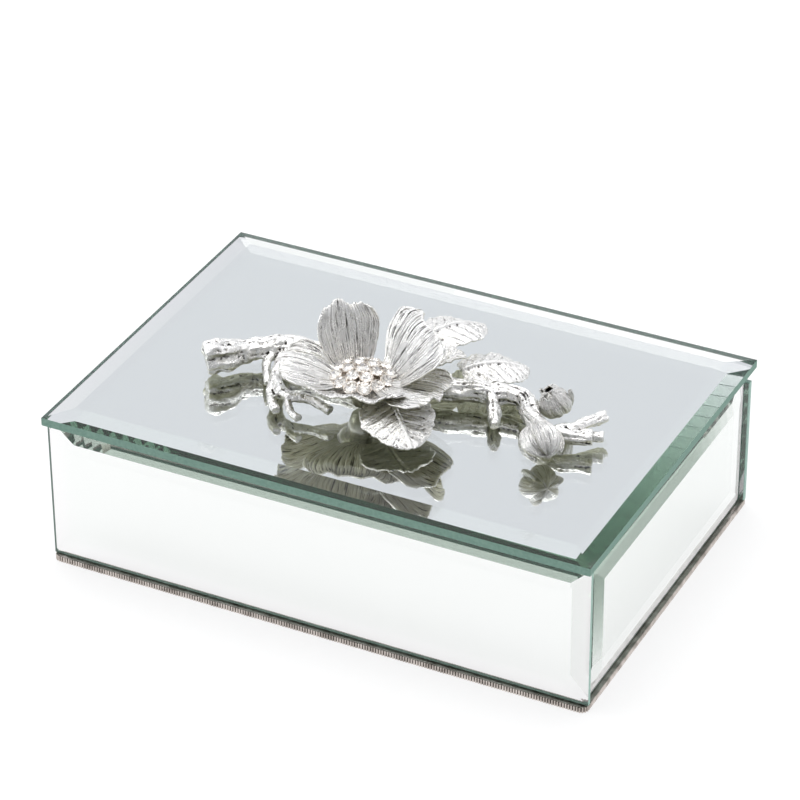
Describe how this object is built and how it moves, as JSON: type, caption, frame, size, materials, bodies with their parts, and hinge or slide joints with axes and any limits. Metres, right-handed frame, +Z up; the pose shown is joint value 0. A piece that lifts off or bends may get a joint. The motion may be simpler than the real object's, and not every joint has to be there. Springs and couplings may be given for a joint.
{
  "type": "vanity trinket box",
  "caption": "Rectangular mirrored-glass vanity trinket box with a hinged bevelled lid, a velvet-lined well and a cast flower spray set with clear stones.",
  "frame": {"origin": "centre of the footprint, on the surface the box stands on", "axes": "+X along the long side, to the right seen from the front; +Y towards the hinges; +Z up"},
  "size_m": [0.216, 0.15, 0.0967],
  "materials": {
    "mirror_glass": "clear float glass, silvered back, ground and polished bevels",
    "wood_board": "sawn fibreboard, sealed",
    "pewter_strip": "reeded strip, antiqued silver plate",
    "felt": "pressed wool felt",
    "velvet": "short-pile velvet over foam",
    "hinge_steel": "nickel-plated stamped steel",
    "silicone": "clear soft silicone",
    "cast_pewter": "cast white metal, bright silver plate",
    "setting_metal": "warm plated cup setting",
    "crystal": "foiled round-cut stones"
  },
  "bodies": {
    "base": {"front_mirror": "mirror_glass", "back_mirror": "mirror_glass", "left_mirror": "mirror_glass", "right_mirror": "mirror_glass", "front_board": "wood_board", "back_board": "wood_board", "left_board": "wood_board", "right_board": "wood_board", "bottom_board": "wood_board", "base_rim": "pewter_strip", "felt_pad": "felt", "floor_lining": "velvet", "front_lining": "velvet", "back_lining": "velvet", "left_lining": "velvet", "right_lining": "velvet", "hinge_left_body_leaf": "hinge_steel", "hinge_left_pin": "hinge_steel", "screw_left_body_1": "hinge_steel", "screw_left_body_2": "hinge_steel", "bumper_left": "silicone", "hinge_right_body_leaf": "hinge_steel", "hinge_right_pin": "hinge_steel", "screw_right_body_1": "hinge_steel", "screw_right_body_2": "hinge_steel", "bumper_right": "silicone"},
    "lid": {"lid_mirror": "mirror_glass", "lid_board": "wood_board", "lid_lining": "velvet", "hinge_left_lid_leaf": "hinge_steel", "hinge_right_lid_leaf": "hinge_steel", "screw_left_lid_1": "hinge_steel", "screw_left_lid_2": "hinge_steel", "screw_right_lid_1": "hinge_steel", "screw_right_lid_2": "hinge_steel", "branch": "cast_pewter", "flower": "cast_pewter", "leaf_front": "cast_pewter", "leaf_back": "cast_pewter", "leaf_right": "cast_pewter", "leaf_small": "cast_pewter", "bud_front": "cast_pewter", "bud_back": "cast_pewter", "crystal_setting": "setting_metal", "crystal_centre": "crystal", "crystal_inner_1": "crystal", "crystal_inner_2": "crystal", "crystal_inner_3": "crystal", "crystal_inner_4": "crystal", "crystal_inner_5": "crystal", "crystal_inner_6": "crystal", "crystal_outer_ring": "crystal"}
  },
  "joints": [
    {"name": "lid_hinge", "type": "hinge", "parent": "base", "child": "lid", "pos_m": [0, 0.0727, 0.0566], "axis": [-1, 0, 0], "range_deg": [0, 100]}
  ]
}
